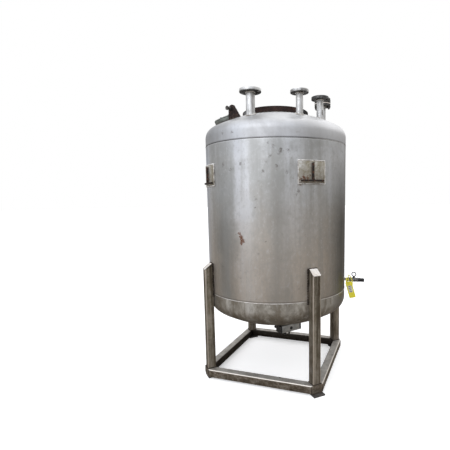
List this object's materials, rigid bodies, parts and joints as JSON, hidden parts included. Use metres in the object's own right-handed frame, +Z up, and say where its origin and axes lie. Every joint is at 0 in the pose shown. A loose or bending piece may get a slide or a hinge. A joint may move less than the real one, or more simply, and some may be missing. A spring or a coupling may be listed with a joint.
{
  "type": "mixing tank",
  "caption": "Upright cylindrical stainless mixing tank with dished ends, top nozzles and mixer ring, on a square tube stand with a bottom outlet valve.",
  "frame": {"origin": "on the ground, under the tank's vertical axis, which is also the middle of the four feet", "axes": "+Z up along the tank's axis, -Y towards the front leg, +X towards the right leg, with the sample valve half way between them"},
  "size_m": [1.192, 1.256, 2.0833],
  "materials": {
    "vessel_steel": "weathered brushed stainless, stained and streaked",
    "stand_steel": "stained brown-grey stainless tube",
    "rusted_steel": "rust over bare carbon steel",
    "dark_steel": "dark greasy steel",
    "black_coating": "matt black coating",
    "actuator_aluminium": "dull extruded aluminium",
    "tag_yellow": "yellow card and strap, bare"
  },
  "bodies": {
    "tank": {"shell": "vessel_steel", "top_head": "vessel_steel", "bottom_head": "vessel_steel", "mixer_ring": "rusted_steel", "nozzle_1_pipe": "vessel_steel", "nozzle_1_flange": "vessel_steel", "nozzle_2_pipe": "vessel_steel", "nozzle_2_flange": "vessel_steel", "nozzle_3_pipe": "vessel_steel", "nozzle_3_flange": "vessel_steel", "nozzle_4_pipe": "vessel_steel", "nozzle_4_flange": "vessel_steel", "nozzle_4_blind": "dark_steel", "hand_hole_ring": "vessel_steel", "hand_hole_cover": "vessel_steel", "lifting_lug": "rusted_steel", "lug_pin": "dark_steel", "leg_front": "stand_steel", "leg_right": "stand_steel", "leg_back": "stand_steel", "leg_left": "stand_steel", "foot_plate_front": "stand_steel", "foot_plate_right": "stand_steel", "foot_plate_back": "stand_steel", "foot_plate_left": "stand_steel", "base_rail_front_left": "stand_steel", "base_rail_front_right": "stand_steel", "base_rail_back_right": "stand_steel", "base_rail_back_left": "stand_steel", "bracket_front": "vessel_steel", "bracket_right": "vessel_steel", "bracket_back": "vessel_steel", "bracket_left": "vessel_steel", "outlet_pipe": "vessel_steel", "outlet_valve": "black_coating", "actuator_stem": "dark_steel", "actuator_body": "actuator_aluminium", "actuator_cap_left": "black_coating", "actuator_cap_right": "black_coating", "sample_nipple": "vessel_steel", "sample_valve": "dark_steel", "sample_cap": "black_coating", "tag_strap": "tag_yellow", "tag": "tag_yellow"},
    "handle": {"sample_handle": "black_coating"}
  },
  "joints": [
    {"name": "sample_handle_turn", "type": "hinge", "parent": "tank", "child": "handle", "pos_m": [0.4299, -0.4299, 0.738], "axis": [0, 0, 1], "range_deg": [0, 90]}
  ]
}
